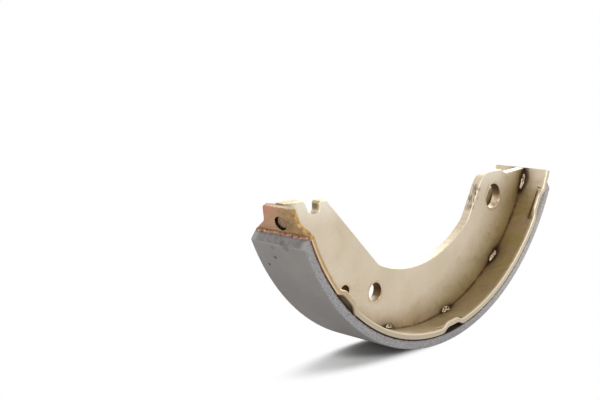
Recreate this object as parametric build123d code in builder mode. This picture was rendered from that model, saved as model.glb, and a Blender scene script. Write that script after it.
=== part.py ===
# Brake shoe for a drum brake: a stamped crescent web, a bent rim table projection-welded to
# its edge, and a friction lining bonded to the table.
#
# Frame: millimetres and degrees.  The origin lies on the friction face straight below the
# drum axis, at mid-width.  +Z is up, +Y runs along the drum axis and +X points to the pivot
# end.  Every profile is drawn in the drum plane, whose own origin is the drum axis.  An angle
# is measured at the drum axis from straight down, and is positive towards the pivot end.
from build123d import *

import os
from math import cos, degrees, radians, sin, sqrt, tan

os.makedirs("parts", exist_ok=True)

# ---------------------------------------------------------------- driving dimensions
# Lining: a band of friction material whose outer face rubs on the drum.
friction_radius = 100.0
lining_thickness = 3.8
lining_side_inset = 0.25  # the lining stops this far inside the table's side faces
lining_start = -66.4  # angle of the inner corner at the tongue end
lining_end = 68.2  # angle of the inner corner at the pivot end
lining_end_slant = 1.2  # angle by which each end leans in towards the friction face
lining_edge_break = 0.35

# Bond: the cured adhesive between the lining and the table.
bond_thickness = 0.2
bond_inset = 0.35  # the film stops this far inside the lining's side faces
bond_bead_radius = 0.9  # adhesive squeezed out along each end of the lining
bond_bead_rise = 0.7  # from the metal to the middle of the bead
bond_bead_inset = 1.0  # the bead stops this far inside the lining's side faces

# Table: the rim that carries the lining.
table_thickness = 2.8
table_width = 30.5
table_end = 71.8
table_edge_break = 0.45

# Tongue: the narrow end of the table beyond the lining, flattened thinner than the rest.  Its
# lengths are measured from its root.
tongue_root = -66.6
tongue_length = 11.7
tongue_thickness = 1.9
tongue_tip_width = 16.4
tongue_tip_bulge = 0.6  # the middle of the tip stands this far beyond its corners
tongue_corner_radius = 1.2
tongue_neck_width = 19.0
tongue_neck_length = 4.3
tongue_neck_radius = 4.0
tongue_edge_radius = 0.6  # rounding of its outer edges

# Edge pads: short lengths of both table edges pressed inwards, which slide on the backing
# plate and hold the shoe square to it.
pad_angles = (-44.4, 5.5, 60.8)
pad_span = 10.8  # angle from one foot of the pad to the other
pad_flat_span = 3.0
pad_lift = 2.3
pad_face_depth = 1.2  # the full lift is held this far in from the edge
pad_slope_depth = 2.2  # and runs out over this depth

# Web: the flat plate that stands on the inside of the table.
web_thickness = 4.5
web_edge_break = 0.4

crescent_inset = 28.5  # the inner edge's radius is smaller than the table's by this
crescent_shift = 4.7  # its centre lies this far from the drum axis towards the tongue
crescent_drop = 0.5  # and this far below the axis
crescent_lobe_angle = 41.0  # where the inner edge leaves its arc for the pivot lobe
crescent_arm_angle = -23.0  # where it leaves the arc for the abutment arm
crescent_corner_radius = 8.0

# Pivot hole and the lobe around it.  The lobe's corners are given from the hole's centre.
pivot_hole_angle = 55.6
pivot_hole_inset = 21.55  # from the table
pivot_hole_radius = 6.0
lobe_height = 12.8
lobe_inner_reach = 9.1
lobe_inner_radius = 11.0
lobe_outer_reach = 6.7
lobe_outer_radius = 5.0
shoulder_height = 10.6
shoulder_reach = 11.5
shoulder_radius = 1.6

# Abutment arm, from the table inwards: the abutment, a notch for the adjuster or the operating
# lever, and a horn.
abutment_rise = 0.4  # above the tip of the tongue
abutment_length = 11.7
abutment_corner_radius = 3.0
notch_depth = 6.2  # below the abutment's top
notch_slope_length = 3.4
notch_floor_length = 5.6
notch_floor_radius = 1.4
horn_drop = 1.5  # below the abutment's top
horn_length = 4.4
horn_tip_radius = 1.0
horn_corner_radius = 1.6

# Small holes: the hold-down hole is half-way between the table and the inner edge.
hold_down_hole_angle = -24.4
hold_down_hole_radius = 4.0
spring_hole_angle = -37.9
spring_hole_inset = 7.1  # from the table
spring_hole_radius = 2.75
hole_edge_break = 0.3

# Projection welds: the table is dimpled from outside, and each dimple is fused to the web's
# edge.  The metal squeezed out shows as a nugget on both sides of the web.
weld_count = 6
first_weld_setback = 2.6  # angle from the tongue's root to the weld on the tongue
last_weld_setback = 4.4  # angle from the table's other end to the last weld
dimple_radius = 3.0
dimple_depth = 1.1
nugget_radius = 4.7
nugget_height = 1.5
nugget_taper = 40.0  # its flanks lean in by this angle
nugget_sides = 12

# ---------------------------------------------------------------- derived sizes
lining_width = table_width - 2 * lining_side_inset
lining_inner_radius = friction_radius - lining_thickness
table_outer_radius = lining_inner_radius - bond_thickness
table_inner_radius = table_outer_radius - table_thickness
tongue_outer_radius = table_inner_radius + tongue_thickness
tongue_tip = tongue_root - degrees(tongue_length / table_inner_radius)
nugget_foot_radius = nugget_radius + table_thickness * tan(radians(nugget_taper))
pad_half = pad_span / 2
pad_flat_half = pad_flat_span / 2
pad_depth = pad_face_depth + pad_slope_depth
crescent_radius = table_inner_radius - crescent_inset
first_weld = tongue_root - first_weld_setback
weld_pitch = (table_end - last_weld_setback - first_weld) / (weld_count - 1)
weld_angles = [first_weld + weld * weld_pitch for weld in range(weld_count)]

drum_plane = Plane(origin=(0, 0, friction_radius), x_dir=(1, 0, 0), z_dir=(0, -1, 0))


def on_arc(radius, angle):
    """A point of the drum plane at this radius and angle."""
    return (radius * sin(radians(angle)), -radius * cos(radians(angle)))


def on_drum(radius, angle):
    """The same point in the part's own frame."""
    across, down = on_arc(radius, angle)
    return (across, 0, friction_radius + down)


def arc(radius, start, end):
    """An arc about the drum axis from one angle to another."""
    return ThreePointArc(on_arc(radius, start), on_arc(radius, (start + end) / 2), on_arc(radius, end))


def ramp(radius_1, angle_1, radius_2, angle_2):
    """A smooth step from one radius to another: two arcs, level at both ends."""
    start = Vector(on_arc(radius_1, angle_1))
    end = Vector(on_arc(radius_2, angle_2))
    along = 1 if angle_2 > angle_1 else -1
    start_tangent = Vector(cos(radians(angle_1)), sin(radians(angle_1))) * along
    end_tangent = Vector(cos(radians(angle_2)), sin(radians(angle_2))) * along
    # The arcs meet half-way between the tips of two equal tangents.  This is the length of the
    # tangents at which they meet smoothly.
    chord = end - start
    reach = chord.dot(start_tangent + end_tangent)
    turn = 2 * (1 - start_tangent.dot(end_tangent))
    tangent_length = (sqrt(reach**2 + turn * chord.dot(chord)) - reach) / turn
    joint = (start + end + (start_tangent - end_tangent) * tangent_length) / 2
    TangentArc(start, joint, tangent=start_tangent)
    TangentArc(end, joint, tangent=-end_tangent)


def sector(inner_radius, outer_radius, start, end):
    """The outline between two radii and two angles."""
    arc(inner_radius, start, end)
    Line(on_arc(inner_radius, end), on_arc(outer_radius, end))
    arc(outer_radius, end, start)
    Line(on_arc(outer_radius, start), on_arc(inner_radius, start))


def pad_outline(pad_angle, lift):
    """The section of the table's band over one edge pad, lifted towards the drum axis."""
    foot_1, foot_2 = pad_angle - pad_half, pad_angle + pad_half
    top_1, top_2 = pad_angle - pad_flat_half, pad_angle + pad_flat_half
    inner, outer = table_inner_radius, table_outer_radius
    ramp(inner, foot_1, inner - lift, top_1)
    arc(inner - lift, top_1, top_2)
    ramp(inner - lift, top_2, inner, foot_2)
    Line(on_arc(inner, foot_2), on_arc(outer, foot_2))
    ramp(outer, foot_2, outer - lift, top_2)
    arc(outer - lift, top_2, top_1)
    ramp(outer - lift, top_1, outer, foot_1)
    Line(on_arc(outer, foot_1), on_arc(inner, foot_1))


def tangent_plane(radius, angle):
    """A plane that touches the shoe from outside: x along the drum axis, y towards the tongue."""
    outward = (sin(radians(angle)), 0, -cos(radians(angle)))
    return Plane(origin=on_drum(radius, angle), x_dir=(0, -1, 0), z_dir=outward)


# ---------------------------------------------------------------- web
with BuildPart() as web:
    table_end_point = on_arc(table_inner_radius, table_end)
    pivot_x, pivot_y = on_arc(table_inner_radius - pivot_hole_inset, pivot_hole_angle)
    shoulder = (pivot_x + shoulder_reach, pivot_y + shoulder_height)
    lobe_outer_corner = (pivot_x + lobe_outer_reach, pivot_y + lobe_height)
    lobe_inner_corner = (pivot_x - lobe_inner_reach, pivot_y + lobe_height)

    crescent_centre = (-crescent_shift, -crescent_drop)
    crescent_lobe_point, crescent_low_point, crescent_arm_point = [
        Vector(crescent_centre) + Vector(on_arc(crescent_radius, angle))
        for angle in (crescent_lobe_angle, 0, crescent_arm_angle)
    ]

    abutment_y = on_arc(table_inner_radius, tongue_tip)[1] + abutment_rise
    horn_y = abutment_y - horn_drop
    notch_y = abutment_y - notch_depth
    seat_x = -sqrt(table_inner_radius**2 - abutment_y**2)
    abutment_x = seat_x + abutment_length
    notch_floor_x = abutment_x + notch_slope_length
    notch_horn_x = notch_floor_x + notch_floor_length
    horn_x = notch_horn_x + horn_length

    web_corners = [
        (shoulder, shoulder_radius),
        (lobe_outer_corner, lobe_outer_radius),
        (lobe_inner_corner, lobe_inner_radius),
        (crescent_lobe_point, crescent_corner_radius),
        (crescent_arm_point, crescent_corner_radius),
        ((horn_x, horn_y), horn_corner_radius),
        ((notch_horn_x, horn_y), horn_tip_radius),
        ((notch_horn_x, notch_y), notch_floor_radius),
        ((notch_floor_x, notch_y), notch_floor_radius),
        ((abutment_x, abutment_y), abutment_corner_radius),
    ]
    with BuildSketch(drum_plane):
        with BuildLine():
            ThreePointArc((seat_x, abutment_y), (0, -table_inner_radius), table_end_point)
            Polyline(table_end_point, shoulder, lobe_outer_corner, lobe_inner_corner, crescent_lobe_point)
            ThreePointArc(crescent_lobe_point, crescent_low_point, crescent_arm_point)
            Polyline(
                crescent_arm_point,
                (horn_x, horn_y),
                (notch_horn_x, horn_y),
                (notch_horn_x, notch_y),
                (notch_floor_x, notch_y),
                (abutment_x, abutment_y),
                (seat_x, abutment_y),
            )
        make_face()
        for corner, radius in web_corners:
            fillet(vertices().sort_by_distance(corner)[0], radius)
        with Locations((pivot_x, pivot_y)):
            Circle(pivot_hole_radius, mode=Mode.SUBTRACT)
        with Locations(on_arc((table_inner_radius + crescent_radius) / 2, hold_down_hole_angle)):
            Circle(hold_down_hole_radius, mode=Mode.SUBTRACT)
        with Locations(on_arc(table_inner_radius - spring_hole_inset, spring_hole_angle)):
            Circle(spring_hole_radius, mode=Mode.SUBTRACT)
    extrude(amount=web_thickness / 2, both=True)
    # The sheared outline is slightly bevelled on both sides, all but the seat on the table.
    for side in web.faces().filter_by(Axis.Y):
        chamfer(side.outer_wire().edges().sort_by(SortBy.LENGTH)[:-1], web_edge_break)
    chamfer(web.edges().filter_by(lambda edge: edge.is_closed), hole_edge_break)
web.part.label = "web"

# ---------------------------------------------------------------- tongue
with BuildPart() as tongue:
    neck_x, neck_y = tongue_neck_width / 2, tongue_neck_length
    tip_x, tip_y = tongue_tip_width / 2, tongue_length - tongue_tip_bulge
    with BuildSketch(tangent_plane(table_inner_radius, tongue_root)):
        with BuildLine():
            Polyline((0, 0), (table_width / 2, 0), (neck_x, neck_y), (tip_x, tip_y))
            TangentArc((0, tongue_length), (tip_x, tip_y), tangent=(1, 0))
            mirror(about=Plane.YZ)
        make_face()
        for side in (-1, 1):
            fillet(vertices().sort_by_distance((side * neck_x, neck_y))[0], tongue_neck_radius)
            fillet(vertices().sort_by_distance((side * tip_x, tip_y))[0], tongue_corner_radius)
    extrude(amount=2 * table_thickness, both=True)
    # It carries on the curve of the table.
    past_tip = 2 * tongue_tip - tongue_root
    with BuildSketch(drum_plane):
        with BuildLine():
            sector(table_inner_radius, tongue_outer_radius, past_tip, tongue_root)
        make_face()
    extrude(amount=table_width, both=True, mode=Mode.INTERSECT)
    middle_of_outer_face = on_drum(tongue_outer_radius, (tongue_root + tongue_tip) / 2)
    outer_face = tongue.faces().sort_by_distance(middle_of_outer_face)[0]
    fillet(outer_face.edges().sort_by(Axis.Z)[1:], tongue_edge_radius)

# ---------------------------------------------------------------- table
with BuildPart() as table:
    with BuildSketch(drum_plane):
        with BuildLine():
            sector(table_inner_radius, table_outer_radius, tongue_root, table_end)
        make_face()
    extrude(amount=table_width / 2, both=True)

    # Edge pads: the edge is cut away over the pad's length, and the pressed edge put in its
    # place, which slopes back to the plain band behind it.
    for side in (-1, 1):
        edge_plane = drum_plane.offset(side * table_width / 2)
        for pad_angle in pad_angles:
            with BuildSketch(edge_plane):
                with BuildLine():
                    sector(crescent_radius, friction_radius, pad_angle - pad_half, pad_angle + pad_half)
                make_face()
            extrude(amount=-side * pad_depth, mode=Mode.SUBTRACT)
            with BuildSketch(edge_plane):
                with BuildLine():
                    pad_outline(pad_angle, pad_lift)
                make_face()
            extrude(amount=-side * pad_face_depth)
            for depth, lift in ((pad_face_depth, pad_lift), (pad_depth, 0)):
                with BuildSketch(edge_plane.offset(-side * depth)):
                    with BuildLine():
                        pad_outline(pad_angle, lift)
                    make_face()
            loft(ruled=True)
    for side_face in (table.faces().sort_by(Axis.Y)[0], table.faces().sort_by(Axis.Y)[-1]):
        chamfer(side_face.edges().filter_by(GeomType.CIRCLE), table_edge_break)

    add(tongue.part)

    # Weld dimples, pressed in from outside along the middle of the table and the tongue.
    for angle in weld_angles:
        outer = tongue_outer_radius if angle < tongue_root else table_outer_radius
        with BuildSketch(tangent_plane(outer - dimple_depth, angle)):
            Circle(dimple_radius)
        extrude(amount=table_thickness, mode=Mode.SUBTRACT)
table.part.label = "table"

# ---------------------------------------------------------------- lining
with BuildPart() as lining:
    with BuildSketch(drum_plane):
        with BuildLine():
            arc(lining_inner_radius, lining_start, lining_end)
            Line(on_arc(lining_inner_radius, lining_end), on_arc(friction_radius, lining_end - lining_end_slant))
            arc(friction_radius, lining_end - lining_end_slant, lining_start + lining_end_slant)
            Line(on_arc(friction_radius, lining_start + lining_end_slant), on_arc(lining_inner_radius, lining_start))
        make_face()
    extrude(amount=lining_width / 2, both=True)
    friction_face = lining.faces().filter_by(GeomType.CYLINDER).sort_by(SortBy.AREA)[-1]
    chamfer(friction_face.edges(), lining_edge_break)
lining.part.label = "lining"

# ---------------------------------------------------------------- bond
with BuildPart() as bond_film:
    with BuildSketch(drum_plane):
        with BuildLine():
            sector(table_outer_radius, lining_inner_radius, lining_start, lining_end)
        make_face()
    extrude(amount=lining_width / 2 - bond_inset, both=True)
    with BuildSketch(drum_plane):
        with Locations(
            on_arc(tongue_outer_radius + bond_bead_rise, lining_start),
            on_arc(table_outer_radius + bond_bead_rise, lining_end),
        ):
            Circle(bond_bead_radius)
    extrude(amount=lining_width / 2 - bond_bead_inset, both=True)
    # Nothing bridges the gap under an edge pad.
    for side in (-1, 1):
        for pad_angle in pad_angles:
            with BuildSketch(drum_plane.offset(side * table_width / 2)):
                with BuildLine():
                    sector(table_inner_radius, friction_radius, pad_angle - pad_half, pad_angle + pad_half)
                make_face()
            extrude(amount=-side * pad_depth, mode=Mode.SUBTRACT)
    # The bead fills the corner between the lining's end and the table.
    add(lining.part, mode=Mode.SUBTRACT)
    add(table.part, mode=Mode.SUBTRACT)
bond_film.part.label = "bond_film"

# ---------------------------------------------------------------- weld nuggets
with BuildPart() as weld_nuggets:
    for angle in weld_angles:
        with BuildSketch(tangent_plane(table_outer_radius, angle)):
            RegularPolygon(nugget_foot_radius, nugget_sides)
        extrude(amount=-(table_thickness + nugget_height), taper=nugget_taper)
    # Only what stands on the inside of the table and beside the web is left.
    with BuildSketch(drum_plane):
        with BuildLine():
            sector(table_inner_radius, crescent_radius, tongue_tip, table_end)
        make_face()
    extrude(amount=table_width / 2, both=True, mode=Mode.INTERSECT)
    with BuildSketch(drum_plane):
        with BuildLine():
            sector(table_inner_radius, crescent_radius, past_tip, table_end)
        make_face()
    extrude(amount=web_thickness / 2, both=True, mode=Mode.SUBTRACT)
weld_nuggets.part.label = "weld_nuggets"

# ---------------------------------------------------------------- files
for piece in (web, table, lining, bond_film, weld_nuggets):
    export_step(piece.part, "parts/" + piece.part.label + ".step")
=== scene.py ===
# The looks of a brake shoe: a stamped web and a bent table under a khaki-gold passivated coat,
# a bonded friction lining, squeezed-out adhesive and projection welds.  Everything is in metres,
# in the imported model's own frame.
from math import atan2, cos, exp, radians, sin
from random import Random
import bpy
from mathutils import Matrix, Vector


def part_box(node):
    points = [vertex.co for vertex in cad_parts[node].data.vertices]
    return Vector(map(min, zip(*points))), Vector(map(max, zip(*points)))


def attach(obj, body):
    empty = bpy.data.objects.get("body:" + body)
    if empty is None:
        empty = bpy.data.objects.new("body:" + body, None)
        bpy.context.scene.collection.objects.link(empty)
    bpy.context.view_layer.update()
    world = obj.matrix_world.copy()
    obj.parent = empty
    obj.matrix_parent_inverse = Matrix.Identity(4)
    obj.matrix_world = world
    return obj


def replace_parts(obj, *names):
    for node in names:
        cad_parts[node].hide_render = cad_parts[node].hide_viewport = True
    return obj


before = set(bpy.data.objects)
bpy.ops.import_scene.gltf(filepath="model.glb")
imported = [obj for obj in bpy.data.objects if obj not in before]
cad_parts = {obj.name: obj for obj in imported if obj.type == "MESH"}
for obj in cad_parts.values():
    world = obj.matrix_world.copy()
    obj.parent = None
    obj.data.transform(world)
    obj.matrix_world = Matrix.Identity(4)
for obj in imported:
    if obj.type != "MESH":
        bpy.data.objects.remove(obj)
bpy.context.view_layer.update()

from types import SimpleNamespace

import bmesh
import bpy
from mathutils import Matrix, Vector, noise

MM = 0.001
DEG = radians(1)

# ---------------------------------------------------------------- places on the shoe
# The drum axis runs along Y above the middle of the friction face.  Angles are measured at the
# axis from straight down, positive towards the pivot end.
DRUM_RADIUS = 100 * MM
TABLE_INNER_RADIUS = 93.2 * MM
TONGUE_OUTER_RADIUS = 95.1 * MM
LINING_INNER_RADIUS = 96.2 * MM
WEB_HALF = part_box("web")[1].y
TABLE_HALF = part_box("table")[1].y
LINING_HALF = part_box("lining")[1].y
LINING_START = -66.4 * DEG
LINING_LIP = LINING_START + 1.35 * DEG  # where its slanted end meets the friction face
LINING_END = 68.2 * DEG
TONGUE_ROOT = -66.6 * DEG
FIRST_PAD = -44.4 * DEG  # the middle of the first pad pressed in the table's edges
WELD_FIRST = -69.2 * DEG
WELD_LAST = 67.4 * DEG
WELD_COUNT = 6
WELD_PITCH = (WELD_LAST - WELD_FIRST) / (WELD_COUNT - 1)
DIMPLE_RADIUS = 3.0 * MM

# Holes through the web: centre, radius, and the heights between which painted shade darkens the wall
# upwards.
HOLES = (
    (Vector((59.12, 0, 59.52)) * MM, 6.0 * MM, -2.2 * MM, 0.6 * MM),
    (Vector((-32.61, 0, 28.10)) * MM, 4.0 * MM, -3.4 * MM, -2.0 * MM),
    (Vector((-52.89, 0, 32.06)) * MM, 2.75 * MM, -3.6 * MM, -3.0 * MM),
)
RIM_STAIN = 0.75  # how strong the golden stain round them is

# A dark olive patch in the adjuster notch: place and size.
NOTCH_PATCH = (Vector((-66.9, 0.4, 71.0)) * MM, 4.2 * MM)

# Rubbing marks on the sheared edge below the pivot lobe: place and size.
SCUFFS = (
    (Vector((45.4, -0.4, 64.2)) * MM, 4.4 * MM),
    (Vector((43.7, -0.6, 60.0)) * MM, 4.2 * MM),
    (Vector((41.1, -0.6, 56.4)) * MM, 3.4 * MM),
)

# Dark marks on the lining: place, size and strength.
LINING_MARKS = (
    (Vector((-87.6, 4.2, 51.9)) * MM, 1.5 * MM, 0.9),
    (Vector((-85.3, 9.8, 47.8)) * MM, 1.4 * MM, 0.9),
    (Vector((-90.4, -4.2, 57.4)) * MM, 3.2 * MM, 0.35),
    (Vector((-90.2, -1.9, 58.9)) * MM, 2.4 * MM, 0.45),
    (Vector((-89.5, 3.5, 56.5)) * MM, 2.2 * MM, 0.3),
)

# The angles over which the gap's painted shade under the table's pads turns to painted light, the
# coat's tarnish and painted shade rise towards the pivot, and the adhesive between table and lining
# stops showing.
GAP_SHADE_TO_LIGHT = (44 * DEG, 52 * DEG)
TARNISH_AND_SHADE_RISE = (-34 * DEG, 42 * DEG)
GLUE_FADE = (8 * DEG, -12 * DEG)


# ---------------------------------------------------------------- colours
def colour(red, green, blue):
    """A colour written as it looks on screen, 0 to 255, as the linear one that a shader takes."""
    def linear(value):
        value /= 255
        return value / 12.92 if value <= 0.04045 else ((value + 0.055) / 1.055) ** 2.4
    return (linear(red), linear(green), linear(blue), 1.0)


# The coat on web and table, with its tarnish, painted shade and painted highlight.
KHAKI = colour(219, 205, 185)
DULL_KHAKI = colour(210, 196, 172)
STRAW = colour(203, 186, 146)
TOP_HIGHLIGHT_CREAM = colour(242, 233, 218)
COAT_SPECK = colour(172, 152, 120)
WEB_TARNISH_AND_SHADE = colour(162, 140, 90)
TABLE_TARNISH_AND_SHADE = colour(154, 136, 100)
TARNISH_OLIVE = colour(148, 136, 76)
TARNISH_VIOLET = colour(150, 124, 104)
SCORCH_HALO = colour(112, 88, 64)
SCORCH_LINE = colour(98, 68, 58)
SCORCH_BURNT = colour(62, 44, 30)

# The web's sheared edges, and its holes with their painted shade.
SHEARED_PALE = colour(216, 203, 180)
SHEARED_DULL = colour(206, 190, 163)
HORN_GOLD = colour(186, 168, 132)
NOTCH_OLIVE = colour(104, 92, 48)
SCUFF_BROWN = colour(96, 78, 62)
HOLE_PALE = colour(222, 204, 178)
HOLE_TAN = colour(186, 162, 130)
HOLE_SHADE_BROWN = colour(122, 98, 64)
HOLE_SHADE_DARK = colour(84, 60, 38)
HOLE_STAIN = colour(178, 136, 74)

# The table's sides, pads and outer face, with their painted highlight, shade and light.
SIDE_CREAM = colour(230, 212, 172)
SIDE_TAN = colour(198, 170, 130)
SIDE_BROWN = colour(186, 154, 112)
SIDE_DULL = colour(190, 177, 154)
SIDE_PALE = colour(206, 194, 172)
CORNER_HIGHLIGHT = colour(228, 216, 194)
CREASE_SHADE = colour(78, 64, 34)
CREASE_END_LIGHT = colour(226, 212, 188)
GLUE_BLACK = colour(32, 24, 14)
GLUE_RED = colour(88, 36, 28)
BURIED_SHADE_BROWN = colour(120, 80, 62)
BURIED_SHADE_DARK = colour(44, 32, 22)
PAD_LIT = colour(148, 133, 104)
PAD_GAP_LIGHT = colour(222, 212, 192)

# The tongue.
TONGUE_GOLD = colour(176, 148, 112)
TONGUE_BROWN = colour(158, 128, 88)
TONGUE_WASH = colour(204, 160, 140)
TONGUE_ROSE = colour(204, 132, 116)
TONGUE_TIP_HIGHLIGHT = colour(232, 214, 190)
TONGUE_FLECK = colour(140, 70, 56)
FLANK_GOLD = colour(194, 156, 92)
FLANK_RUST = colour(150, 104, 52)
DIMPLE_FLOOR = colour(160, 136, 106)
DIMPLE_WALL = colour(40, 24, 12)

# The lining: its friction face, its rough sides, its chalky end, and the face that is buried, with
# painted shade and light where it shows.
FACE_GREY = colour(150, 145, 142)
FACE_LIGHT = colour(161, 156, 152)
FACE_GRAIN = colour(118, 115, 113)
FACE_GROUND = colour(158, 155, 152)
FACE_MARK = colour(84, 80, 77)
ROUGH_LIGHT = colour(174, 172, 172)
ROUGH_GREY = colour(152, 149, 148)
ROUGH_LAVENDER = colour(166, 166, 177)
ROUGH_WARM = colour(206, 200, 194)
ROUGH_GRIT = colour(108, 104, 104)
ROUGH_FLECK = colour(196, 195, 196)
STUCK_BROWN = colour(112, 78, 66)
CHALK_LIGHT = colour(140, 139, 138)
CHALK_GREY = colour(122, 119, 118)
CHALK_RIM = colour(176, 173, 170)
CHALK_SCUFF = colour(84, 80, 78)
SMEAR_RED = colour(104, 46, 38)
SMEAR_DARK = colour(44, 34, 30)
LINING_GAP_SHADE = colour(54, 39, 32)
LINING_GAP_LIGHT = colour(196, 192, 188)

# The adhesive.
BEAD_BROWN = colour(126, 84, 68)
BEAD_ROSE = colour(182, 134, 110)
CRUMB_PALE = colour(238, 214, 192)
CRUMB_BLACK = colour(64, 40, 30)
GRINDING_DUST = colour(136, 130, 125)
FILM_DARK = colour(38, 24, 18)
FILM_GAP_LIGHT = colour(170, 160, 146)

# The welds.
WELD_BRIGHT = colour(206, 188, 158)
WELD_BROWN = colour(126, 100, 74)
SCALE_BLACK = colour(40, 28, 20)
SCALE_BROWN = colour(74, 54, 40)


# ---------------------------------------------------------------- node helpers
class Finish:
    """A material under construction: a Principled shader and the nodes that feed it."""

    def __init__(self, name):
        self.material = bpy.data.materials.new(name)
        self.material.use_nodes = True
        self.tree = self.material.node_tree
        self.shader = self.tree.nodes["Principled BSDF"]
        self.place = self.add("ShaderNodeTexCoord").outputs["Object"]

    def add(self, kind, **settings):
        node = self.tree.nodes.new(kind)
        for name, value in settings.items():
            setattr(node, name, value)
        return node

    def feed(self, socket, value):
        """Sets a socket to a constant, or links another socket to it."""
        if isinstance(value, bpy.types.NodeSocket):
            self.tree.links.new(value, socket)
        else:
            socket.default_value = value

    def set(self, **inputs):
        for name, value in inputs.items():
            self.feed(self.shader.inputs[name.replace("_", " ")], value)

    def math(self, operation, *values, clamp=False):
        node = self.add("ShaderNodeMath", operation=operation, use_clamp=clamp)
        for socket, value in zip(node.inputs, values):
            self.feed(socket, value)
        return node.outputs[0]

    def times(self, product, *factors):
        """The product of these values."""
        for factor in factors:
            product = self.math("MULTIPLY", product, factor)
        return product

    def shift(self, value, pattern, amount):
        """A value moved by so much of a pattern, as one that makes a border ragged."""
        return self.math("MULTIPLY_ADD", pattern, amount, value)

    def all_but(self, share):
        """What a share leaves of 1."""
        return self.math("SUBTRACT", 1.0, share, clamp=True)

    def apart(self, value, centre):
        """How far a value is from another."""
        return self.math("ABSOLUTE", self.math("SUBTRACT", value, centre))

    def hypotenuse(self, first, second):
        squares = [self.math("MULTIPLY", side, side) for side in (first, second)]
        return self.math("SQRT", self.math("ADD", *squares))

    def band(self, value, low, high, smooth=True):
        """0 below low and 1 above high, or 1 below high and 0 above low where low is larger."""
        node = self.add("ShaderNodeMapRange", interpolation_type="SMOOTHSTEP" if smooth else "LINEAR")
        self.feed(node.inputs["Value"], value)
        node.inputs["From Min"].default_value = min(low, high)
        node.inputs["From Max"].default_value = max(low, high)
        node.inputs["To Min"].default_value = 0.0 if low < high else 1.0
        node.inputs["To Max"].default_value = 1.0 if low < high else 0.0
        return node.outputs[0]

    def mix(self, share, first, second):
        """The first colour with this share of the second."""
        node = self.add("ShaderNodeMix", data_type="RGBA")
        self.feed(node.inputs[0], share)
        self.feed(node.inputs[6], first)
        self.feed(node.inputs[7], second)
        return node.outputs[2]

    def blend(self, value, low, high, first, second):
        """From one colour to another, as a value goes from low to high."""
        return self.mix(self.band(value, low, high), first, second)

    def lay(self, base, tint, *shares):
        """A colour over another, as strong as the product of these shares."""
        return self.mix(self.times(*shares), base, tint)

    def noise(self, size, detail=3.0, roughness=0.5, stretch=None, distortion=0.0):
        """Soft noise from 0 to 1 whose spots are about this size."""
        place = self.place
        if stretch:
            mapping = self.add("ShaderNodeMapping")
            self.feed(mapping.inputs["Vector"], place)
            mapping.inputs["Scale"].default_value = stretch
            place = mapping.outputs[0]
        node = self.add("ShaderNodeTexNoise")
        self.feed(node.inputs["Vector"], place)
        node.inputs["Scale"].default_value = 1 / size
        node.inputs["Detail"].default_value = detail
        node.inputs["Roughness"].default_value = roughness
        node.inputs["Distortion"].default_value = distortion
        return node.outputs["Fac"]

    def cells(self, size):
        """The distance to the nearest of many scattered points this far apart."""
        node = self.add("ShaderNodeTexVoronoi")
        self.feed(node.inputs["Vector"], self.place)
        node.inputs["Scale"].default_value = 1 / size
        return node.outputs["Distance"]

    def bump(self, height, depth, normal=None):
        """Relief whose full height is this depth in metres."""
        node = self.add("ShaderNodeBump")
        node.inputs["Strength"].default_value = 1.0
        node.inputs["Distance"].default_value = depth
        self.feed(node.inputs["Height"], height)
        if normal:
            self.feed(node.inputs["Normal"], normal)
        return node.outputs[0]

    def spot(self, centre, size):
        """1 at a point, fading to 0 this far from it."""
        node = self.add("ShaderNodeVectorMath", operation="DISTANCE")
        self.feed(node.inputs[0], self.place)
        node.inputs[1].default_value = centre
        return self.band(node.outputs["Value"], size, 0.0)

    def axes(self):
        """The object coordinates' X, Y and Z."""
        node = self.add("ShaderNodeSeparateXYZ")
        self.feed(node.inputs[0], self.place)
        return node.outputs

    def places(self):
        """Where a point of the shoe is: its coordinates, its radius and angle about the drum
        axis, how far it is from mid-width, and how far up the web from the table."""
        x, y, z = self.axes()
        depth = self.math("SUBTRACT", DRUM_RADIUS, z)
        reach = self.hypotenuse(x, depth)
        return SimpleNamespace(
            x=x,
            y=y,
            z=z,
            reach=reach,
            angle=self.math("ARCTAN2", x, depth),
            off_middle=self.math("ABSOLUTE", y),
            up_web=self.math("SUBTRACT", TABLE_INNER_RADIUS, reach),
        )

    def facing_out(self, at):
        """1 where a surface faces away from the drum axis, -1 where it faces it."""
        normal = self.add("ShaderNodeSeparateXYZ")
        self.feed(normal.inputs[0], self.add("ShaderNodeNewGeometry").outputs["Normal"])
        sideways = self.math("MULTIPLY", normal.outputs[0], at.x)
        downward = self.math("MULTIPLY", normal.outputs[2], self.math("SUBTRACT", at.z, DRUM_RADIUS))
        return self.math("DIVIDE", self.math("ADD", sideways, downward), at.reach)


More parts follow.
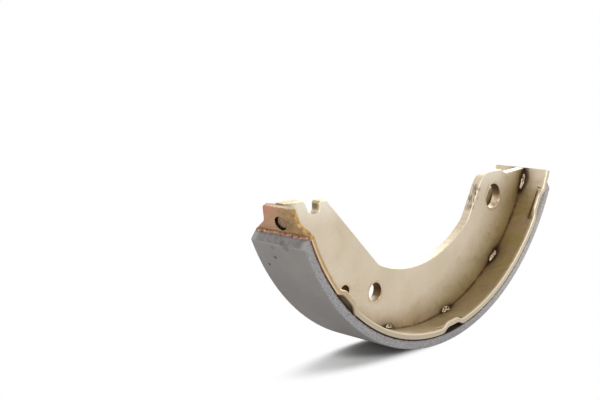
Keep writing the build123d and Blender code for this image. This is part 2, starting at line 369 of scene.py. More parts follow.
# ---------------------------------------------------------------- the coat on web and table
def weld_scorch(finish, at, wander):
    """How scorched the coat is: a broken line in the corner of web and table, a burnt oval
    round each weld and a wide halo about it."""
    above = finish.math("MAXIMUM", at.up_web, 0.0)
    beside = finish.math("MAXIMUM", finish.math("SUBTRACT", at.off_middle, WEB_HALF), 0.0)
    from_corner = finish.hypotenuse(above, beside)
    breaks = finish.noise(3.5 * MM, detail=4, roughness=0.7)
    near_pivot = finish.band(at.angle, 10 * DEG, 45 * DEG)
    ragged = finish.shift(finish.shift(from_corner, breaks, 2.4 * MM), near_pivot, -0.3 * MM)
    line = finish.times(finish.band(ragged, 2.4 * MM, 1.0 * MM), finish.band(breaks, 0.75, 0.5))

    # The angle to the nearest weld, as a length along the table.
    turns = finish.math("SUBTRACT", at.angle, WELD_FIRST - WELD_PITCH / 2)
    to_weld = finish.math("SUBTRACT", finish.math("FLOORED_MODULO", turns, WELD_PITCH), WELD_PITCH / 2)
    along = finish.times(to_weld, TABLE_INNER_RADIUS)
    oval = finish.hypotenuse(finish.times(along, 0.46), from_corner)
    oval = finish.shift(oval, finish.band(at.angle, 20 * DEG, 56 * DEG), -1.2 * MM)
    burnt = finish.band(finish.shift(oval, breaks, 2.4 * MM), 4.3 * MM, 2.5 * MM)
    halo = finish.hypotenuse(finish.times(along, 0.5), from_corner)
    halo = finish.shift(finish.shift(halo, near_pivot, -1.5 * MM), wander, 3.0 * MM)
    halo = finish.band(halo, 8.5 * MM, 2.0 * MM)
    inside = finish.band(at.up_web, -0.4 * MM, -0.1 * MM)
    return [finish.times(inside, share) for share in (line, burnt, halo)]


def coat_ground(finish, at, tarnish_and_shade_tint, top_highlight):
    """The khaki-gold passivate that web and table share: cloudy, gold-brown with tarnish and painted
    shade towards the pivot end, and scorched at the welds.  Gives its colour and its finest noise."""
    drift = finish.noise(26 * MM, detail=3, roughness=0.55)
    cloud = finish.noise(13 * MM, detail=4, roughness=0.6, distortion=0.4)
    fine = finish.noise(1.1 * MM, detail=3, roughness=0.6)
    base = finish.blend(drift, 0.35, 0.68, KHAKI, DULL_KHAKI)
    base = finish.lay(base, STRAW, finish.band(cloud, 0.6, 0.85))
    # Painted highlight: paler towards the top of the pivot end.
    base = finish.lay(base, TOP_HIGHLIGHT_CREAM, finish.band(at.z, 60 * MM, 76 * MM), top_highlight)

    # Tarnish and painted shade climb out of the corner of web and table, higher towards the pivot.
    # They leave the table's rims paler, and the end of the table beyond the last weld.
    towards_pivot = finish.band(at.angle, *TARNISH_AND_SHADE_RISE)
    ragged = finish.shift(at.up_web, finish.math("SUBTRACT", cloud, 0.5), 13 * MM)
    far_up = finish.math("MULTIPLY_ADD", towards_pivot, 17 * MM, 7 * MM)
    beyond_welds = finish.band(at.angle, 60 * DEG, 70 * DEG)
    beside_web = finish.band(at.off_middle, 3 * MM, 6 * MM)
    tarnish_and_shade = finish.times(
        finish.all_but(finish.math("DIVIDE", ragged, far_up)),
        finish.math("MULTIPLY_ADD", towards_pivot, 0.45, 0.5),
        finish.band(at.up_web, -2.4 * MM, -0.8 * MM),
        finish.all_but(finish.times(finish.band(at.off_middle, 13.2 * MM, 14.8 * MM), 0.6)),
        finish.all_but(finish.times(beyond_welds, beside_web, 0.8)),
    )
    base = finish.lay(base, tarnish_and_shade_tint, tarnish_and_shade)
    # Olive and violet tints drift through it.
    tints = finish.noise(8 * MM, detail=3, roughness=0.5, distortion=0.8)
    base = finish.lay(base, TARNISH_OLIVE, finish.band(tints, 0.54, 0.68), tarnish_and_shade, 0.55)
    base = finish.lay(base, TARNISH_VIOLET, finish.band(tints, 0.44, 0.32), tarnish_and_shade, 0.5)
    base = finish.lay(base, COAT_SPECK, finish.band(fine, 0.62, 0.8), 0.6)

    line, burnt, halo = weld_scorch(finish, at, cloud)
    base = finish.lay(base, SCORCH_HALO, halo, 0.5)
    base = finish.lay(base, SCORCH_LINE, line, 0.65)
    base = finish.lay(base, SCORCH_BURNT, burnt, 0.8)
    return base, fine


def finish_coat(finish, base, fine):
    """Gives a coat its satin metal sheen and its relief."""
    relief = finish.shift(finish.noise(0.35 * MM, detail=2), fine, 0.5)
    waves = finish.bump(finish.noise(7 * MM, detail=2), 0.05 * MM)
    finish.set(
        Base_Color=base,
        Metallic=0.9,
        Roughness=finish.band(fine, -0.8, 1.6, smooth=False),
        Normal=finish.bump(relief, 0.012 * MM, waves),
    )
    return finish.material


def paint_holes(finish, at, base):
    """The holes' walls, pale at the foot and darkened above by painted shade, and a golden stain round
    each hole.
    """
    stains = finish.noise(2.5 * MM, detail=3)
    for centre, radius, foot, top in HOLES:
        height = finish.math("SUBTRACT", at.z, centre.z)
        distance = finish.hypotenuse(finish.math("SUBTRACT", at.x, centre.x), height)
        wall = finish.band(distance, radius + 0.32 * MM, radius + 0.2 * MM)
        shade = finish.blend(stains, 0.42, 0.6, HOLE_PALE, HOLE_TAN)
        # Painted shade darkens each wall upwards from its foot.
        shade = finish.lay(shade, HOLE_SHADE_BROWN, finish.band(height, foot, top))
        shade = finish.lay(shade, HOLE_SHADE_DARK, finish.band(height, top - 0.5 * MM, top + 3 * MM))
        base = finish.lay(base, shade, wall)
        rim = finish.band(finish.shift(distance, stains, 1.5 * MM), radius + 3 * MM, radius + 1 * MM)
        round_hole = finish.math("SUBTRACT", RIM_STAIN, wall, clamp=True)
        base = finish.lay(base, HOLE_STAIN, rim, finish.band(stains, 0.35, 0.7), round_hole)
    return base


def web_coat():
    """The coat on the web: pale on its sheared edges, with painted shade in its holes, scuffed below
    the pivot lobe."""
    finish = Finish("web_coat")
    at = finish.places()
    base, fine = coat_ground(finish, at, WEB_TARNISH_AND_SHADE, 0.85)

    sheared = finish.band(at.off_middle, WEB_HALF - 0.05 * MM, WEB_HALF - 0.4 * MM)
    grooves = finish.noise(1.6 * MM, detail=3, stretch=(1, 0.15, 1))
    edge = finish.blend(grooves, 0.35, 0.7, SHEARED_PALE, SHEARED_DULL)
    base = finish.lay(base, edge, sheared, finish.band(at.up_web, 1 * MM, 3 * MM))

    # The top of the adjuster end is dull gold, and the notch's inner wall is darkened olive.
    adjuster_end = finish.band(at.x, -50 * MM, -58 * MM)
    top = finish.band(at.z, 71.8 * MM, 72.4 * MM)
    base = finish.lay(base, HORN_GOLD, adjuster_end, top, sheared, 0.85)
    olive_patch = finish.band(finish.spot(*NOTCH_PATCH), 0.0, 0.5)
    below_top = finish.band(at.z, 72.4 * MM, 71.6 * MM)
    base = finish.lay(base, NOTCH_OLIVE, olive_patch, sheared, below_top, 0.85)

    # Dark rubbing marks on the sheared edge below the pivot lobe, smeared through its thickness.
    smears = finish.noise(1.3 * MM, detail=4, roughness=0.7, stretch=(0.45, 1.5, 0.4))
    for place, size in SCUFFS:
        near = finish.spot(place, size)
        rubbed = finish.band(finish.shift(smears, near, 0.2), 0.56, 0.7)
        base = finish.lay(base, SCUFF_BROWN, rubbed, finish.band(near, 0.0, 0.3), 0.75)

    return finish_coat(finish, paint_holes(finish, at, base), fine)


def paint_table_sides(finish, at, base, blotch):
    """The table's sheared sides: cream and tan beside the tongue, plain towards the pivot, with
    a painted highlight along their inner corner, and with adhesive crept out along their outer edge."""
    side = finish.band(at.off_middle, TABLE_HALF - 0.3 * MM, TABLE_HALF - 0.1 * MM)
    streaks = finish.noise(1.6 * MM, detail=4, roughness=0.6, stretch=(0.35, 1, 0.35))
    outer_half = finish.band(finish.shift(at.up_web, streaks, 0.8 * MM), -1.0 * MM, -1.5 * MM)
    tint = finish.blend(streaks, 0.42, 0.6, SIDE_TAN, SIDE_BROWN)
    tint = finish.lay(tint, SIDE_CREAM, outer_half, 0.85)
    plain = finish.blend(at.angle, 0, 36 * DEG, SIDE_DULL, SIDE_PALE)
    tint = finish.lay(tint, plain, finish.band(at.angle, -54 * DEG, -36 * DEG))
    base = finish.lay(base, tint, side, 0.92)

    # A painted highlight along the inner corner of the sides past the tongue.
    corner = finish.band(finish.apart(at.off_middle, TABLE_HALF - 0.25 * MM), 0.3 * MM, 0.15 * MM)
    inner_rim = finish.band(at.up_web, -0.9 * MM, -0.5 * MM)
    past_tongue = finish.band(at.angle, -48 * DEG, -34 * DEG)
    base = finish.lay(base, CORNER_HIGHLIGHT, corner, inner_rim, past_tongue, 0.6)

    crept = finish.band(finish.shift(at.up_web, blotch, 2.2 * MM), -1.55 * MM, -1.75 * MM)
    strength = finish.math("MULTIPLY_ADD", finish.band(at.angle, *GLUE_FADE), 0.6, 0.38)
    glue = finish.blend(blotch, 0.45, 0.6, GLUE_BLACK, GLUE_RED)
    return finish.lay(base, glue, side, crept, strength)


def paint_pad_crease(finish, at, base, blotch):
    """Painted shade along the crease that the pressed edge of the last pad leaves.  It tapers
    towards the pivot and runs out softly at its upper end, where painted light lifts the shade."""
    tapered = finish.band(at.angle, 65 * DEG, 56 * DEG, smooth=False)
    half_width = finish.math("MULTIPLY_ADD", tapered, 0.95 * MM, 0.3 * MM)
    beside = finish.apart(finish.shift(at.off_middle, blotch, 0.6 * MM), 12.6 * MM)
    crease = finish.times(
        finish.band(finish.math("DIVIDE", beside, half_width), 1.4, 0.3),
        finish.band(at.angle, 54.5 * DEG, 56.5 * DEG),
        finish.band(at.angle, 66.5 * DEG, 63 * DEG),
        finish.band(at.up_web, -0.4 * MM, 0.0),
    )
    # Painted shade in the crease.
    base = finish.lay(base, CREASE_SHADE, crease, 0.85)
    # Painted light where the crease runs out, lifting the shade of the pad's end.
    run_out = finish.band(finish.apart(at.angle, 65.8 * DEG), 1.1 * DEG, 0.5 * DEG)
    on_pad = finish.band(at.off_middle, 11.9 * MM, 12.4 * MM)
    return finish.lay(base, CREASE_END_LIGHT, run_out, on_pad, 0.5)


def paint_tongue(finish, at, base, blotch):
    """The tongue: gold with a rosy upper corner, brown flecks, a painted highlight on its cream tip,
    orange-brown flanks and the weld dimple."""
    speck = finish.noise(0.55 * MM, detail=3)
    on_tongue = finish.band(at.angle, TONGUE_ROOT + 0.5 * DEG, TONGUE_ROOT - 0.2 * DEG)
    gold = finish.blend(blotch, 0.36, 0.64, TONGUE_GOLD, TONGUE_BROWN)
    far_side = finish.band(at.y, -4 * MM, 5 * MM)
    gold = finish.lay(gold, TONGUE_WASH, far_side, finish.band(blotch, 0.25, 0.6), 0.5)
    # A slanting line bounds the rosy corner.
    slanted = finish.math("MULTIPLY_ADD", at.y, 1.6, finish.times(at.angle, -0.35))
    rosy = finish.band(slanted, 0.4385, 0.4555)
    gold = finish.lay(gold, TONGUE_ROSE, rosy, finish.band(blotch, 0.35, 0.6), 0.8)
    # A painted highlight: a cream band along the tip.
    tip_highlight = finish.band(finish.shift(at.angle, speck, 0.5 * DEG), -73.1 * DEG, -73.5 * DEG)
    gold = finish.lay(gold, TONGUE_TIP_HIGHLIGHT, tip_highlight)
    near_tip = finish.band(at.angle, -72.3 * DEG, -73.3 * DEG)
    gold = finish.lay(gold, TONGUE_FLECK, finish.band(speck, 0.66, 0.74), near_tip, 0.8)
    outer_face = finish.band(at.up_web, -0.9 * MM, -1.4 * MM)
    base = finish.lay(base, gold, on_tongue, outer_face)

    flank = finish.times(
        on_tongue,
        finish.band(at.up_web, -0.1 * MM, -0.4 * MM),
        finish.band(at.up_web, -1.9 * MM, -1.5 * MM),
        finish.band(at.off_middle, 7.4 * MM, 8.2 * MM),
    )
    rust = finish.blend(blotch, 0.4, 0.6, FLANK_GOLD, FLANK_RUST)
    base = finish.lay(base, rust, flank, 0.85)

    # The dimple has a black ring at its wall and a dull floor.
    to_dimple = finish.times(finish.math("SUBTRACT", at.angle, WELD_FIRST), TONGUE_OUTER_RADIUS)
    from_dimple = finish.shift(finish.hypotenuse(to_dimple, at.y), speck, 0.25 * MM)
    sunk = finish.times(on_tongue, finish.band(at.up_web, -0.3 * MM, -0.6 * MM))
    floor = finish.band(from_dimple, DIMPLE_RADIUS + 0.1 * MM, DIMPLE_RADIUS)
    base = finish.lay(base, DIMPLE_FLOOR, sunk, floor)
    wall = finish.band(finish.apart(from_dimple, DIMPLE_RADIUS - 0.08 * MM), 0.36 * MM, 0.2 * MM)
    return finish.lay(base, DIMPLE_WALL, sunk, wall)


def paint_buried_face(finish, at, base):
    """The face that the lining hides: painted black as shade, browner beside the tongue, and
    painted lit a little way under the first pad and under the last."""
    hidden = finish.times(
        finish.band(finish.facing_out(at), 0.3, 0.6),
        finish.band(at.angle, TONGUE_ROOT, TONGUE_ROOT + 0.6 * DEG),
        finish.band(at.angle, LINING_END + 0.4 * DEG, LINING_END),
    )
    under_pad = finish.band(finish.apart(at.angle, FIRST_PAD), 5.6 * DEG, 4.6 * DEG)
    near_rim = finish.band(at.off_middle, 11.5 * MM, 14.6 * MM)
    # Painted shade in the gaps under the pads, with painted light under the first pad and pale painted
    # light towards the pivot.
    shade = finish.blend(at.angle, -58 * DEG, -50 * DEG, BURIED_SHADE_BROWN, BURIED_SHADE_DARK)
    shade = finish.lay(shade, PAD_LIT, under_pad, near_rim)
    shade = finish.lay(shade, PAD_GAP_LIGHT, finish.band(at.angle, *GAP_SHADE_TO_LIGHT))
    return finish.lay(base, shade, hidden, 0.95)


def table_coat():
    """The coat on the table: rosy gold on the tongue, tan on the sheared sides beside it, painted
    dark as shade where the lining hides it."""
    finish = Finish("table_coat")
    at = finish.places()
    base, fine = coat_ground(finish, at, TABLE_TARNISH_AND_SHADE, 0.2)
    blotch = finish.noise(2.2 * MM, detail=4, roughness=0.65)
    base = paint_table_sides(finish, at, base, blotch)
    base = paint_pad_crease(finish, at, base, blotch)
    base = paint_tongue(finish, at, base, blotch)
    base = paint_buried_face(finish, at, base)
    return finish_coat(finish, base, fine)


# ---------------------------------------------------------------- lining, adhesive and welds
def lining_side(finish, at, grain, grit):
    """The lining's rough side: speckled, paler towards the pivot, with brown specks of adhesive
    along its upper edge."""
    rough = finish.blend(grain, 0.3, 0.7, ROUGH_LIGHT, ROUGH_GREY)
    tints = finish.noise(2.6 * MM, detail=3)
    rough = finish.lay(rough, ROUGH_LAVENDER, finish.band(tints, 0.5, 0.62), 0.45)
    rough = finish.lay(rough, ROUGH_WARM, finish.band(at.angle, 0, 48 * DEG), 0.75)
    rough = finish.lay(rough, ROUGH_GRIT, finish.band(grit, 0.53, 0.64), 0.75)
    rough = finish.lay(rough, ROUGH_FLECK, finish.band(finish.cells(1.6 * MM), 0.14, 0.07))
    upper = finish.band(at.reach, LINING_INNER_RADIUS + 0.9 * MM, LINING_INNER_RADIUS + 0.1 * MM)
    return finish.lay(rough, STUCK_BROWN, upper, finish.band(grit, 0.46, 0.58), 0.8)


def lining_end(finish, at, mottle):
    """The lining's slanted end: mottled, scuffed dark and chalky along its rims."""
    chalk = finish.blend(mottle, 0.4, 0.62, CHALK_LIGHT, CHALK_GREY)
    rim = finish.band(finish.shift(at.off_middle, mottle, 3 * MM), 12.8 * MM, 15.2 * MM)
    chalk = finish.lay(chalk, CHALK_RIM, rim, 0.7)
    scuffs = finish.noise(2.0 * MM, detail=5, roughness=0.7)
    return finish.lay(chalk, CHALK_SCUFF, finish.band(scuffs, 0.62, 0.7), 0.6)


def friction_material():
    """Moulded friction material, ground smooth on its outer face and left rough at its sides."""
    finish = Finish("friction_material")
    at = finish.places()
    cloud = finish.noise(22 * MM, detail=4, roughness=0.6)
    grain = finish.noise(0.9 * MM, detail=4, roughness=0.7)
    grit = finish.noise(0.4 * MM, detail=2)
    base = finish.blend(cloud, 0.3, 0.7, FACE_GREY, FACE_LIGHT)
    base = finish.lay(base, FACE_GRAIN, finish.band(grain, 0.6, 0.75), 0.4)
    # Light passes of the grinder run round the friction face.
    passes = finish.noise(1.4 * MM, detail=2, stretch=(0.03, 1, 0.03))
    base = finish.lay(base, FACE_GROUND, finish.band(passes, 0.5, 0.75), 0.25)

    side = finish.band(at.off_middle, LINING_HALF - 0.3 * MM, LINING_HALF - 0.1 * MM)
    base = finish.lay(base, lining_side(finish, at, grain, grit), side)
    mottle = finish.noise(3.2 * MM, detail=4, roughness=0.65)
    end = finish.band(at.angle, LINING_LIP, LINING_LIP - 0.2 * DEG)
    base = finish.lay(base, lining_end(finish, at, mottle), end, finish.all_but(side))
    lip = finish.band(finish.apart(at.angle, LINING_LIP), 0.3 * DEG, 0.05 * DEG)
    base = finish.lay(base, CHALK_RIM, lip, finish.band(mottle, 0.4, 0.6), 0.35)

    # Adhesive smeared along a hair line beside the table.
    smear = finish.noise(1.8 * MM, detail=4, roughness=0.7)
    ragged = finish.shift(at.reach, smear, 2.4 * MM)
    hair = finish.band(ragged, LINING_INNER_RADIUS + 1.35 * MM, LINING_INNER_RADIUS + 1.1 * MM)
    glue = finish.blend(smear, 0.4, 0.62, SMEAR_RED, SMEAR_DARK)
    base = finish.lay(base, glue, hair, side, finish.band(at.angle, *GLUE_FADE), 0.85)
    # Painted shade where the lining faces the table, turning to pale painted light towards the pivot.
    buried = finish.blend(at.angle, *GAP_SHADE_TO_LIGHT, LINING_GAP_SHADE, LINING_GAP_LIGHT)
    base = finish.lay(base, buried, finish.band(finish.facing_out(at), -0.5, -0.8), 0.95)

    for place, size, strength in LINING_MARKS:
        mark = finish.band(finish.shift(finish.spot(place, size), grain, 0.5), 0.6, 0.9)
        base = finish.lay(base, FACE_MARK, mark, strength)

    relief = finish.shift(grain, finish.times(grit, side), 2.0)
    finish.set(Base_Color=base, Roughness=0.8, Normal=finish.bump(relief, 0.06 * MM))
    return finish.material


def adhesive():
    """Cured adhesive: a granular reddish-brown with pale and black crumbs where it is squeezed
    out, black in the film."""
    finish = Finish("adhesive")
    at = finish.places()
    crumbs = finish.noise(1.3 * MM, detail=4, roughness=0.75)
    base = finish.blend(crumbs, 0.4, 0.6, BEAD_BROWN, BEAD_ROSE)
    base = finish.lay(base, CRUMB_PALE, finish.band(finish.cells(1.1 * MM), 0.34, 0.2))
    base = finish.lay(base, CRUMB_BLACK, finish.band(crumbs, 0.42, 0.35))
    # The bead's outer rim is dusted grey from the grinding of the lining.
    rim = finish.shift(at.reach, crumbs, 0.5 * MM)
    dusted = finish.band(rim, LINING_INNER_RADIUS + 0.6 * MM, LINING_INNER_RADIUS + 0.8 * MM)
    base = finish.lay(base, GRINDING_DUST, dusted, 0.85)
    film = finish.times(
        finish.band(at.angle, LINING_START + 0.9 * DEG, LINING_START + 1.3 * DEG),
        finish.band(at.angle, LINING_END - 0.9 * DEG, LINING_END - 1.3 * DEG),
    )
    # The film is black, turning to pale painted light towards the pivot.
    base = finish.lay(base, finish.blend(at.angle, *GAP_SHADE_TO_LIGHT, FILM_DARK, FILM_GAP_LIGHT), film)
    finish.set(Base_Color=base, Roughness=0.6, Normal=finish.bump(crumbs, 0.3 * MM))
    return finish.material


def weld_metal():
    """Steel squeezed out at a weld, bright under its coat, burnt brown in its hollows."""
    finish = Finish("weld_metal")
    burnt = finish.noise(1.6 * MM, detail=3, roughness=0.6)
    base = finish.blend(burnt, 0.48, 0.62, WELD_BRIGHT, WELD_BROWN)
    finish.set(Base_Color=base, Metallic=0.85, Roughness=0.35, Normal=finish.bump(burnt, 0.1 * MM))
    return finish.material


def weld_scale():
    """The burnt skin at the foot of a weld."""
    finish = Finish("weld_scale")
    grain = finish.noise(0.6 * MM, detail=3)
    base = finish.blend(grain, 0.35, 0.65, SCALE_BLACK, SCALE_BROWN)
    finish.set(Base_Color=base, Metallic=0.3, Roughness=0.55, Normal=finish.bump(grain, 0.08 * MM))
    return finish.material


# ---------------------------------------------------------------- web, table, lining and bond
FLAT_WITHIN = 0.6 * DEG  # faces that turn by less than this are joined into one
SHARP_EDGE = 28 * DEG  # edges that turn by more than this are rounded
SHEARED_EDGE_ROUNDING = 0.12 * MM
MOULDED_EDGE_ROUNDING = 0.15 * MM
FILM_EDGE_ROUNDING = 0.03 * MM


def add_piece(name, bm, materials):
    """Makes a piece of a finished bmesh, rides it on the shoe and gives it its finish."""
    mesh = bpy.data.meshes.new(name)
    bm.to_mesh(mesh)
    bm.free()
    for material in materials:
        mesh.materials.append(material)
    mesh.shade_smooth()
    piece = bpy.data.objects.new(name, mesh)
    bpy.context.scene.collection.objects.link(piece)
    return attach(piece, "root")


def merged_copy(node):
    """The shape of a CAD node as one joined mesh with its flat faces whole."""
    bm = bmesh.new()
    bm.from_mesh(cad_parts[node].data)
    # The node's own normals no longer fit once its faces are merged.
    for layer in list(bm.loops.layers.float_vector):
        bm.loops.layers.float_vector.remove(layer)
    bmesh.ops.remove_doubles(bm, verts=bm.verts, dist=0.001 * MM)
    bmesh.ops.dissolve_limit(bm, angle_limit=FLAT_WITHIN, verts=bm.verts, edges=bm.edges)
    return bm


def soften_edges(piece, width):
    """Rounds a piece's sharp edges by a small bevel, and shades it smooth between them."""
    piece.data.set_sharp_from_angle(angle=SHARP_EDGE)
    bevel = piece.modifiers.new("edge_rounding", "BEVEL")
    bevel.width = width
    bevel.segments = 2
    bevel.limit_method = "ANGLE"
    bevel.angle_limit = SHARP_EDGE
    bevel.harden_normals = True
    bevel.use_clamp_overlap = True


def dress_node(node, material, edge_rounding):
    """Makes a CAD node's own shape with soft edges and its finish, standing for the node."""
    piece = add_piece(node + "_finished", merged_copy(node), [material])
    soften_edges(piece, edge_rounding)
    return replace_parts(piece, node)


dress_node("web", web_coat(), SHEARED_EDGE_ROUNDING)
dress_node("table", table_coat(), SHEARED_EDGE_ROUNDING)
dress_node("lining", friction_material(), MOULDED_EDGE_ROUNDING)
dress_node("bond_film", adhesive(), FILM_EDGE_ROUNDING)


# ---------------------------------------------------------------- welds
# Of each weld: the ridge's length, its reach out of the corner, and how deeply it is split.
WELD_RIDGES = (
    (5.0 * MM, 1.15 * MM, 0.6),
    (4.4 * MM, 1.05 * MM, 0.6),
    (4.6 * MM, 1.1 * MM, 0.65),
    (5.6 * MM, 1.3 * MM, 0.85),
    (7.0 * MM, 0.8 * MM, 0.25),
    (8.4 * MM, 0.8 * MM, 0.3),
)
WELD_LEAN = 45 * DEG  # the ridge's middle line stands half-way between table and web
# Across a ridge, in radians from its middle line: where each lip and the split between them
# lie, and half their widths.  Heights are shares of the reach.
UPPER_LIP_HEIGHT, UPPER_LIP_PLACE, UPPER_LIP_WIDTH = 0.42, 0.7, 0.34
LOWER_LIP_HEIGHT, LOWER_LIP_PLACE, LOWER_LIP_WIDTH = 0.34, -0.6, 0.3
SPLIT_DEPTH, SPLIT_PLACE, SPLIT_WIDTH = 0.75, 0.05, 0.24
CREASE_HALF = 0.16  # and half the width of the split's burnt floor
LUMP, CRUMBLE, WANDER = 0.2, 0.1, 0.5  # a ridge's unevenness, as shares of its reach
RIDGE_SET_OFF = 0.3 * MM  # how far a ridge's middle stands off both web and table
RIDGE_PLAY = 0.4 * MM  # how far it may lie off its place along the table
# The burnt foot under a ridge: half its length as a share of the ridge's, its spread over web
# and table, and how rough it is.
FOOT_SHARE, FOOT_DEPTH, FOOT_HEIGHT, FOOT_ROUGHNESS = 0.6, 1.0 * MM, 0.8 * MM, 0.35


def rise(turn, height, place, half_width):
    """A rounded rise of this height at one place across a ridge."""
    return height * exp(-(((turn - place) / half_width) ** 2))


def weld_ridge(bm, to_weld, length, reach, split, seed):
    """A ridge of squeezed-out metal in the corner of web and table, split lengthways into two
    lips by a burnt crease.  The lips are uneven, and the ridge wanders and crumbles."""
    made = bmesh.ops.create_uvsphere(bm, u_segments=56, v_segments=36, radius=1.0)["verts"]
    # The sphere's poles lie along the table: z becomes the length.
    crease = set()
    for vert in made:
        beside, above, along = vert.co
        turn = atan2(above, beside) - WELD_LEAN
        bow = 1 - along**2
        lips = rise(turn, UPPER_LIP_HEIGHT, UPPER_LIP_PLACE, UPPER_LIP_WIDTH)
        lips += rise(turn, LOWER_LIP_HEIGHT, LOWER_LIP_PLACE, LOWER_LIP_WIDTH)
        valley = rise(turn, SPLIT_DEPTH * split, SPLIT_PLACE, SPLIT_WIDTH) * min(1.0, 2.0 * bow)
        lump = LUMP * noise.noise(Vector((along * 3.1, seed, 0)))
        crumble = CRUMBLE * noise.noise(Vector((along * 7, beside * 2.5, above * 2.5 + seed)))
        swell = reach * (1 + lips - valley + lump + crumble)
        wander = WANDER * reach * bow * noise.noise(Vector((along * 1.6, 0, seed)))
        vert.co = Vector((along * length / 2, beside * swell + wander, above * swell - wander))
        if abs(turn - SPLIT_PLACE) < CREASE_HALF and bow > 0.3:
            crease.add(vert)
    for face in {face for vert in made for face in vert.link_faces}:
        if all(vert in crease for vert in face.verts):
            face.material_index = 1
    bmesh.ops.transform(bm, matrix=to_weld, verts=made)


def weld_foot(bm, corner, length, seed):
    """The low burnt foot that a ridge stands on."""
    foot = bmesh.ops.create_uvsphere(bm, u_segments=32, v_segments=16, radius=1.0)["verts"]
    half = Vector((FOOT_SHARE * length, FOOT_DEPTH, FOOT_HEIGHT))
    for vert in foot:
        rough = 1 + FOOT_ROUGHNESS * noise.noise(vert.co * 2.1 + seed)
        vert.co = vert.co * half * rough
    for face in {face for vert in foot for face in vert.link_faces}:
        face.material_index = 1
    bmesh.ops.transform(bm, matrix=corner, verts=foot)


def arc_frame(radius, angle, y):
    """Axes at a point of the shoe: x along the arc, y along the drum axis, z to the drum axis."""
    along = Vector((cos(angle), 0, sin(angle)))
    inward = Vector((-sin(angle), 0, cos(angle)))
    turn = Matrix((along, Vector((0, 1, 0)), inward)).transposed().to_4x4()
    return Matrix.Translation(Vector((0, y, DRUM_RADIUS)) - radius * inward) @ turn


def build_welds():
    """The metal squeezed out at every weld, on both sides of the web."""
    bright, burnt = weld_metal(), weld_scale()
    chance = Random(11)
    bm = bmesh.new()
    for number, (length, reach, split) in enumerate(WELD_RIDGES):
        angle = WELD_FIRST + number * WELD_PITCH
        for side in (-1, 1):
            flip = Matrix.Scale(side, 4, Vector((0, 1, 0)))
            corner = arc_frame(TABLE_INNER_RADIUS, angle, side * WEB_HALF) @ flip
            weld_foot(bm, corner, length, Vector((number * 7, side * 3, 0)))
            along = chance.uniform(-RIDGE_PLAY, RIDGE_PLAY)
            shift = Matrix.Translation((along, RIDGE_SET_OFF, RIDGE_SET_OFF))
            weld_ridge(bm, corner @ shift, length, reach, split, chance.uniform(0, 90))
    bmesh.ops.recalc_face_normals(bm, faces=bm.faces)
    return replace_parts(add_piece("weld_spew", bm, [bright, burnt]), "weld_nuggets")


build_welds()


# ---------------------------------------------------------------- floor, light and camera
FLOOR_HALF = 3.0
FLOOR_BOUNCE = 0.4  # the floor's colour as a source of light on the shoe
FLOOR_WHITE = 1.0  # and as it is seen
# The shadow lies in an oval that runs to the left of where the shoe touches the floor, and beyond
# it the floor glows white over any shadow; a smaller oval in it holds a painted shadow, the darkest.
# Of each: its centre, its half lengths to the left and to the right, and its half width.
SHADOW_OVAL = (-22 * MM, 2 * MM, 56 * MM, 30 * MM, 17 * MM)
PAINTED_SHADOW_OVAL = (-18 * MM, 0.0, 28 * MM, 30 * MM, 16 * MM)
# The painted shadow right under the shoe.
PAINTED_SHADOW_DEPTH = 0.62  # how much darker the floor is right under the shoe
SHADOW_SLANT = 0.9  # how the shadow leans away from the lamp
SKY_STRENGTH = 0.65

# Softboxes: place, the point each is turned to, and power in watts.
SOFTBOX_SIDE = 0.6
SOFTBOXES = {
    "key_light": ((0.8, 0.3, 0.75), (0, 0, 0.03), 10),
    "front_fill": ((-0.25, -0.9, 0.35), (0, 0, 0.04), 3.2),
    "left_fill": ((-0.9, 0.15, 0.3), (0, 0, 0.05), 1.5),
}

CAMERA_PLACE = (-0.3600, -0.2675, 0.1405)
CAMERA_DIP = 9.672 * DEG  # how far it looks down
CAMERA_TURN = -46.526 * DEG
CAMERA_LENS = 59.58


def seen_directly(tree):
    """1 for what the camera, a gloss or a clear piece sees, and 0 for the light on the shoe."""
    rays = tree.nodes.new("ShaderNodeLightPath")
    total = rays.outputs["Is Camera Ray"]
    for ray in ("Is Glossy Ray", "Is Transmission Ray"):
        either = tree.nodes.new("ShaderNodeMath")
        either.operation = "MAXIMUM"
        tree.links.new(total, either.inputs[0])
        tree.links.new(rays.outputs[ray], either.inputs[1])
        total = either.outputs[0]
    return total


def floor_oval(white, x, y, oval):
    """0 at an oval's centre and 1 on its rim."""
    centre_x, centre_y, left, right, half_width = oval
    slanted = white.shift(x, y, SHADOW_SLANT)
    along = white.math("SUBTRACT", slanted, centre_x)
    behind = white.math("DIVIDE", along, -left)
    along = white.math("MAXIMUM", behind, white.math("DIVIDE", along, right))
    across = white.math("DIVIDE", white.math("SUBTRACT", y, centre_y), half_width)
    return white.hypotenuse(along, across)


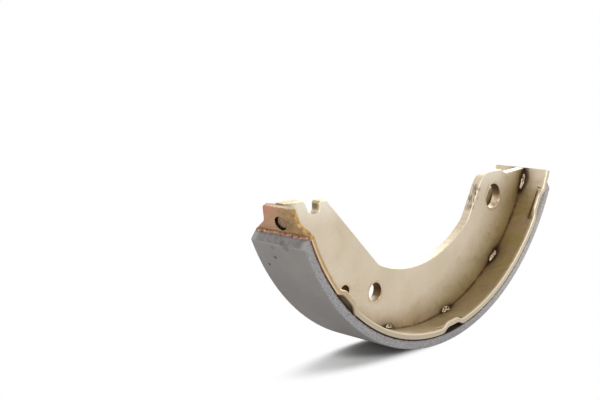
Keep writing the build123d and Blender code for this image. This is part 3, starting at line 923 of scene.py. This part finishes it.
def white_floor():
    """White that keeps the shoe's shadow near it, darkens it with a painted shadow right under the
    shoe, and shines by itself further off.
    """
    white = Finish("white_floor")
    x, y, _ = white.axes()
    seen = seen_directly(white.tree)
    faded = white.band(floor_oval(white, x, y, SHADOW_OVAL), 0.62, 1.15)
    # A painted shadow darkens the floor right under the shoe.
    painted_shadow = white.band(floor_oval(white, x, y, PAINTED_SHADOW_OVAL), 1.05, 0.5)
    shade = white.math("MULTIPLY_ADD", painted_shadow, -PAINTED_SHADOW_DEPTH, FLOOR_WHITE)
    shade = white.times(shade, white.all_but(faded))
    tone = white.add("ShaderNodeCombineColor")
    for socket in tone.inputs:
        white.feed(socket, shade)
    white.set(
        Base_Color=white.mix(seen, [FLOOR_BOUNCE] * 3 + [1], tone.outputs[0]),
        Roughness=0.8,
        Specular_IOR_Level=0.0,
        Emission_Color=(1, 1, 1, 1),
        Emission_Strength=white.times(faded, seen),
    )
    return white.material


def build_stage():
    """A plain white floor under the shoe."""
    bm = bmesh.new()
    bmesh.ops.create_grid(bm, x_segments=1, y_segments=1, size=FLOOR_HALF)
    mesh = bpy.data.meshes.new("floor")
    bm.to_mesh(mesh)
    bm.free()
    mesh.materials.append(white_floor())
    floor = bpy.data.objects.new("floor", mesh)
    bpy.context.scene.collection.objects.link(floor)


def build_sky():
    """White light from all round, and plain white where the camera, a gloss or a clear piece
    sees it."""
    world = bpy.data.worlds.new("studio")
    world.use_nodes = True
    tree = world.node_tree
    shine = tree.nodes["Background"]
    shine.inputs["Color"].default_value = (1, 1, 1, 1)
    pick = tree.nodes.new("ShaderNodeMix")
    tree.links.new(seen_directly(tree), pick.inputs[0])
    pick.inputs[2].default_value = SKY_STRENGTH
    pick.inputs[3].default_value = 1.0
    tree.links.new(pick.outputs[0], shine.inputs["Strength"])
    world.cycles.sampling_method = "NONE"
    bpy.context.scene.world = world


def add_softboxes():
    for name, (place, target, power) in SOFTBOXES.items():
        lamp = bpy.data.lights.new(name, "AREA")
        lamp.shape = "SQUARE"
        lamp.size = SOFTBOX_SIDE
        lamp.energy = power
        holder = bpy.data.objects.new(name, lamp)
        holder.location = place
        towards = Vector(target) - Vector(place)
        holder.rotation_euler = towards.to_track_quat("-Z", "Y").to_euler()
        bpy.context.scene.collection.objects.link(holder)


def add_camera():
    lens = bpy.data.cameras.new("camera")
    lens.lens = CAMERA_LENS
    lens.sensor_width = 36.0
    lens.clip_start = 0.01
    camera = bpy.data.objects.new("camera", lens)
    camera.location = CAMERA_PLACE
    camera.rotation_euler = (90 * DEG - CAMERA_DIP, 0, CAMERA_TURN)
    bpy.context.scene.collection.objects.link(camera)
    bpy.context.scene.camera = camera


build_stage()
build_sky()
add_softboxes()
add_camera()
bpy.context.scene.view_settings.view_transform = "Standard"
